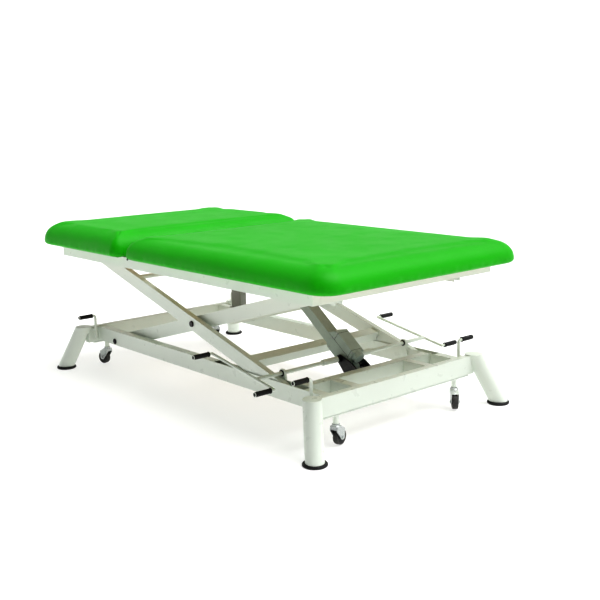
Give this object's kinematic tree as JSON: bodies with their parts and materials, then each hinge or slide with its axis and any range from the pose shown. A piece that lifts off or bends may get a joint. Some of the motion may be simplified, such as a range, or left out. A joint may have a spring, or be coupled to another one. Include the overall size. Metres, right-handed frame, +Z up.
{
  "type": "examination couch",
  "caption": "Wide two-section electric treatment couch: upholstered pads on a scissor lift, with foot-control bars, splayed legs and retractable castors.",
  "frame": {"origin": "centre of the bounding box on the floor", "axes": "+X along the length to the foot end, +Z up, -Y the side that faces the viewer"},
  "size_m": [2.125, 1.148, 0.722],
  "materials": {
    "white_paint": "off-white powder coat, semi-gloss",
    "green_vinyl": "vivid green leatherette upholstery, soft sheen",
    "black_rubber": "matt black rubber",
    "black_plastic": "black plastic",
    "grey_housing": "grey-green actuator casing",
    "black_paint": "black powder coat",
    "bright_steel": "ground steel rod",
    "zinc": "bright zinc plate",
    "plywood": "birch plywood",
    "castor_tyre": "black and grey castor wheel"
  },
  "bodies": {
    "base": {"base_rail_near": "white_paint", "base_rail_far": "white_paint", "base_end_foot": "white_paint", "base_end_head": "white_paint", "base_inner_frame": "white_paint", "actuator_bracket": "black_paint", "leg_foot_near": "white_paint", "leg_foot_far": "white_paint", "leg_head_near": "white_paint", "leg_head_far": "white_paint", "foot_foot_near": "black_rubber", "foot_foot_far": "black_rubber", "foot_head_near": "black_rubber", "foot_head_far": "black_rubber"},
    "arms_inner": {"arm_inner_near": "white_paint", "arm_inner_far": "white_paint", "torque_tube": "white_paint", "centre_bolt_near": "black_paint", "centre_bolt_far": "black_paint"},
    "arms_outer": {"arm_outer_near": "white_paint", "arm_outer_far": "white_paint", "outer_arm_cross_low": "white_paint", "outer_arm_cross_high": "white_paint"},
    "top": {"frame_side_near": "white_paint", "frame_side_far": "white_paint", "frame_end_foot": "white_paint", "frame_end_head": "white_paint", "frame_cross_foot": "white_paint", "frame_cross_head": "white_paint", "roller_track_near": "white_paint", "roller_track_far": "white_paint", "board_body": "plywood", "cushion_body": "green_vinyl"},
    "backrest": {"backrest_frame": "white_paint", "board_head": "plywood", "cushion_head": "green_vinyl"},
    "actuator_housing": {"actuator_housing": "grey_housing"},
    "actuator_rod": {"actuator_rod": "bright_steel"},
    "roller_low_near": {"roller_low_near": "black_plastic"},
    "roller_high_near": {"roller_high_near": "black_plastic"},
    "pedal_bar_near": {"pedal_bar_near": "white_paint"},
    "roller_low_far": {"roller_low_far": "black_plastic"},
    "roller_high_far": {"roller_high_far": "black_plastic"},
    "pedal_bar_far": {"pedal_bar_far": "white_paint"},
    "castor_beam_foot": {"castor_beam_foot": "white_paint"},
    "castor_lever_foot_near": {"castor_lever_foot_near": "white_paint"},
    "castor_fork_foot_near": {"castor_fork_foot_near": "zinc"},
    "castor_wheel_foot_near": {"castor_wheel_foot_near": "castor_tyre"},
    "castor_lever_foot_far": {"castor_lever_foot_far": "white_paint"},
    "castor_fork_foot_far": {"castor_fork_foot_far": "zinc"},
    "castor_wheel_foot_far": {"castor_wheel_foot_far": "castor_tyre"},
    "castor_beam_head": {"castor_beam_head": "white_paint"},
    "castor_lever_head_near": {"castor_lever_head_near": "white_paint"},
    "castor_fork_head_near": {"castor_fork_head_near": "zinc"},
    "castor_wheel_head_near": {"castor_wheel_head_near": "castor_tyre"},
    "castor_lever_head_far": {"castor_lever_head_far": "white_paint"},
    "castor_fork_head_far": {"castor_fork_head_far": "zinc"},
    "castor_wheel_head_far": {"castor_wheel_head_far": "castor_tyre"}
  },
  "joints": [
    {"name": "lift", "type": "hinge", "parent": "base", "child": "arms_inner", "pos_m": [-0.6375, 0, 0.157], "axis": [0, -1, 0], "range_deg": [-5, 8]},
    {"name": "scissor_centre", "type": "hinge", "parent": "arms_inner", "child": "arms_outer", "pos_m": [0.0235, 0, 0.34654], "axis": [0, 1, 0], "range_deg": [-10, 16]},
    {"name": "top_level", "type": "hinge", "parent": "arms_outer", "child": "top", "pos_m": [-0.72093, 0, 0.56], "axis": [0, -1, 0], "range_deg": [-5, 8]},
    {"name": "backrest", "type": "hinge", "parent": "top", "child": "backrest", "pos_m": [-0.2965, 0, 0.641], "axis": [0, 1, 0], "range_deg": [0, 60]},
    {"name": "actuator_tilt", "type": "hinge", "parent": "base", "child": "actuator_housing", "pos_m": [0.6395, 0, 0.198], "axis": [0, -1, 0], "range_deg": [-6, 4]},
    {"name": "actuator_stroke", "type": "slide", "parent": "actuator_housing", "child": "actuator_rod", "axis": [-0.7954, 0, 0.6061], "range_m": [-0.073, 0.117]},
    {"name": "roller_low_near_spin", "type": "hinge", "parent": "arms_outer", "child": "roller_low_near", "pos_m": [0.6845, -0.371, 0.157], "axis": [0, 1, 0], "continuous": true},
    {"name": "roller_high_near_spin", "type": "hinge", "parent": "arms_inner", "child": "roller_high_near", "pos_m": [0.76793, -0.332, 0.56], "axis": [0, 1, 0], "continuous": true},
    {"name": "roller_low_far_spin", "type": "hinge", "parent": "arms_outer", "child": "roller_low_far", "pos_m": [0.6845, 0.371, 0.157], "axis": [0, 1, 0], "continuous": true},
    {"name": "roller_high_far_spin", "type": "hinge", "parent": "arms_inner", "child": "roller_high_far", "pos_m": [0.76793, 0.332, 0.56], "axis": [0, 1, 0], "continuous": true},
    {"name": "pedal_bar_near_rock", "type": "hinge", "parent": "base", "child": "pedal_bar_near", "pos_m": [0.58766, -0.48, 0.23119], "axis": [0, 1, 0], "range_deg": [-7, 7], "stiffness_Nm_per_rad": 90},
    {"name": "pedal_bar_far_rock", "type": "hinge", "parent": "base", "child": "pedal_bar_far", "pos_m": [0.58766, 0.48, 0.23119], "axis": [0, 1, 0], "range_deg": [-7, 7], "stiffness_Nm_per_rad": 90},
    {"name": "castor_lever_foot_near_turn", "type": "hinge", "parent": "base", "child": "castor_lever_foot_near", "pos_m": [0.8375, -0.421, 0.2], "axis": [1, 0, 0], "range_deg": [0, 35]},
    {"name": "castor_lever_foot_far_turn", "type": "hinge", "parent": "base", "child": "castor_lever_foot_far", "pos_m": [0.8375, 0.421, 0.2], "axis": [-1, 0, 0], "range_deg": [0, 35]},
    {"name": "castor_beam_foot_slide", "type": "slide", "parent": "base", "child": "castor_beam_foot", "axis": [0, 0, -1], "range_m": [0, 0.012]},
    {"name": "castor_lever_head_near_turn", "type": "hinge", "parent": "base", "child": "castor_lever_head_near", "pos_m": [-0.7665, -0.421, 0.2], "axis": [1, 0, 0], "range_deg": [0, 35]},
    {"name": "castor_lever_head_far_turn", "type": "hinge", "parent": "base", "child": "castor_lever_head_far", "pos_m": [-0.7665, 0.421, 0.2], "axis": [-1, 0, 0], "range_deg": [0, 35]},
    {"name": "castor_beam_head_slide", "type": "slide", "parent": "base", "child": "castor_beam_head", "axis": [0, 0, -1], "range_m": [0, 0.012]},
    {"name": "castor_fork_foot_near_swivel", "type": "hinge", "parent": "castor_beam_foot", "child": "castor_fork_foot_near", "pos_m": [0.8815, -0.34, 0.09], "axis": [0, 0, 1], "continuous": true},
    {"name": "castor_wheel_foot_near_spin", "type": "hinge", "parent": "castor_fork_foot_near", "child": "castor_wheel_foot_near", "pos_m": [0.87569, -0.31671, 0.035], "axis": [-0.9703, -0.2419, 0], "continuous": true},
    {"name": "castor_fork_foot_far_swivel", "type": "hinge", "parent": "castor_beam_foot", "child": "castor_fork_foot_far", "pos_m": [0.8815, 0.34, 0.09], "axis": [0, 0, 1], "continuous": true},
    {"name": "castor_wheel_foot_far_spin", "type": "hinge", "parent": "castor_fork_foot_far", "child": "castor_wheel_foot_far", "pos_m": [0.89961, 0.32426, 0.035], "axis": [0.6561, 0.7547, 0], "continuous": true},
    {"name": "castor_fork_head_near_swivel", "type": "hinge", "parent": "castor_beam_head", "child": "castor_fork_head_near", "pos_m": [-0.8105, -0.34, 0.09], "axis": [0, 0, 1], "continuous": true},
    {"name": "castor_wheel_head_near_spin", "type": "hinge", "parent": "castor_fork_head_near", "child": "castor_wheel_head_near", "pos_m": [-0.83379, -0.34581, 0.035], "axis": [0.2419, -0.9703, 0], "continuous": true},
    {"name": "castor_fork_head_far_swivel", "type": "hinge", "parent": "castor_beam_head", "child": "castor_fork_head_far", "pos_m": [-0.8105, 0.34, 0.09], "axis": [0, 0, 1], "continuous": true},
    {"name": "castor_wheel_head_far_spin", "type": "hinge", "parent": "castor_fork_head_far", "child": "castor_wheel_head_far", "pos_m": [-0.83305, 0.34821, 0.035], "axis": [-0.342, -0.9397, 0], "continuous": true}
  ],
  "couplings": [
    {"joint": "scissor_centre", "follows": "lift", "ratio": 2},
    {"joint": "top_level", "follows": "lift", "ratio": 1},
    {"joint": "actuator_tilt", "follows": "lift", "ratio": -0.729},
    {"joint": "actuator_stroke", "follows": "lift", "m_per_rad": 0.83},
    {"joint": "castor_lever_foot_far_turn", "follows": "castor_lever_foot_near_turn", "ratio": 1},
    {"joint": "castor_beam_foot_slide", "follows": "castor_lever_foot_near_turn", "m_per_rad": 0.01964},
    {"joint": "castor_lever_head_far_turn", "follows": "castor_lever_head_near_turn", "ratio": 1},
    {"joint": "castor_beam_head_slide", "follows": "castor_lever_head_near_turn", "m_per_rad": 0.01964}
  ]
}
